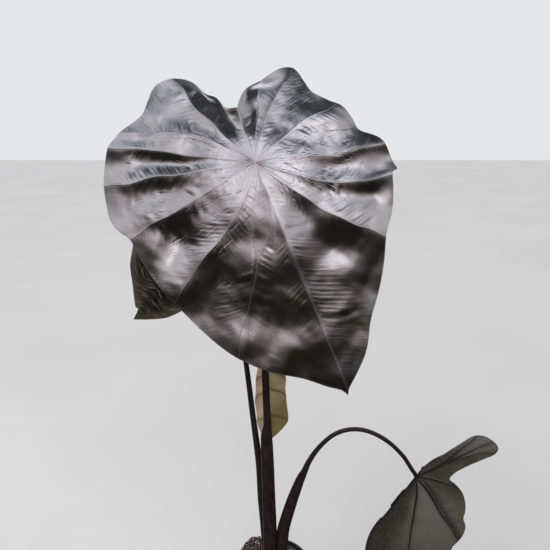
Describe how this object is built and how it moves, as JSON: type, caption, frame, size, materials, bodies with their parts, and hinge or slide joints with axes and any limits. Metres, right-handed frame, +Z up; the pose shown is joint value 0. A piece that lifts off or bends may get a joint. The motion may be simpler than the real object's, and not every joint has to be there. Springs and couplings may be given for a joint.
{
  "type": "potted black-leaved aroid",
  "caption": "Upright aroid in a nursery pot: a broad glossy near-black leaf in front, smaller leaves beside and behind it, on sheathed dark stalks.",
  "frame": {"origin": "centre of the pot's underside", "axes": "+Z up; the big front leaf faces -Y, and the arched leaf hangs out along +X"},
  "size_m": [0.4792, 0.171, 0.7848],
  "materials": {
    "pot": "satin",
    "mix": "matte",
    "corm": "matte",
    "stalk": "gloss",
    "leaf_black": "gloss",
    "leaf_maroon": "satin",
    "leaf_underside": "satin",
    "leaf_fading": "satin"
  },
  "bodies": {
    "root": {"pot": "pot", "soil": "mix", "corm": "corm", "petiole_front": "stalk", "petiole_right": "stalk", "petiole_rear": "stalk", "petiole_folded": "stalk", "leaf_front": "leaf_black", "leaf_rear": "leaf_maroon", "leaf_right": "leaf_underside", "leaf_folded": "leaf_fading"}
  },
  "joints": []
}
